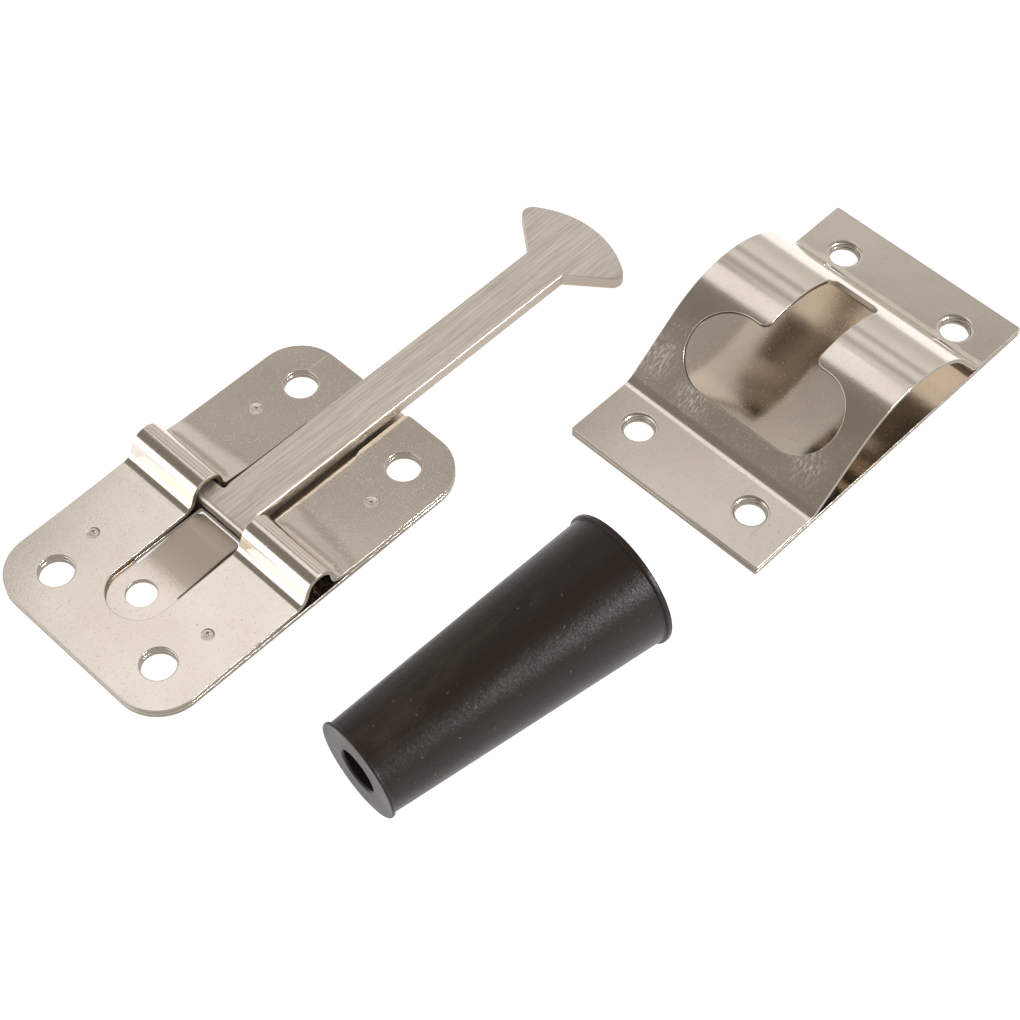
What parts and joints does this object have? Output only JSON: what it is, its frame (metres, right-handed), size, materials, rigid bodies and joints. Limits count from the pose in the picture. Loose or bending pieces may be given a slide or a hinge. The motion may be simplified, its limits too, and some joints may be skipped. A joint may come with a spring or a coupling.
{
  "type": "door holder",
  "caption": "Door hold-back: a T-headed arm hinged on a folded plate, a domed keyhole catch that takes its head, and a tapered rubber bumper.",
  "frame": {"origin": "centre of the arm plate's four corner screw holes, on the plate's back face", "axes": "+X along the folded arm towards its T head, +Y across the arm plate and away from the catch and the bumper, +Z out of the plates' front faces"},
  "size_m": [0.1705, 0.0985, 0.0258],
  "materials": {
    "bright_sheet": "bright rolled stainless sheet",
    "brushed_bar": "stainless bar brushed lengthwise",
    "black_rubber": "moulded, satin"
  },
  "bodies": {
    "root": {"front_plate": "bright_sheet", "back_plate": "bright_sheet", "catch_cover": "bright_sheet", "catch_back": "bright_sheet", "rubber_bumper": "black_rubber"},
    "arm": {"holder_arm": "brushed_bar"}
  },
  "joints": [
    {"name": "arm_pivot", "type": "hinge", "parent": "root", "child": "arm", "pos_m": [0, 0, 0.0035], "axis": [0, -1, 0], "range_deg": [0, 180]}
  ]
}
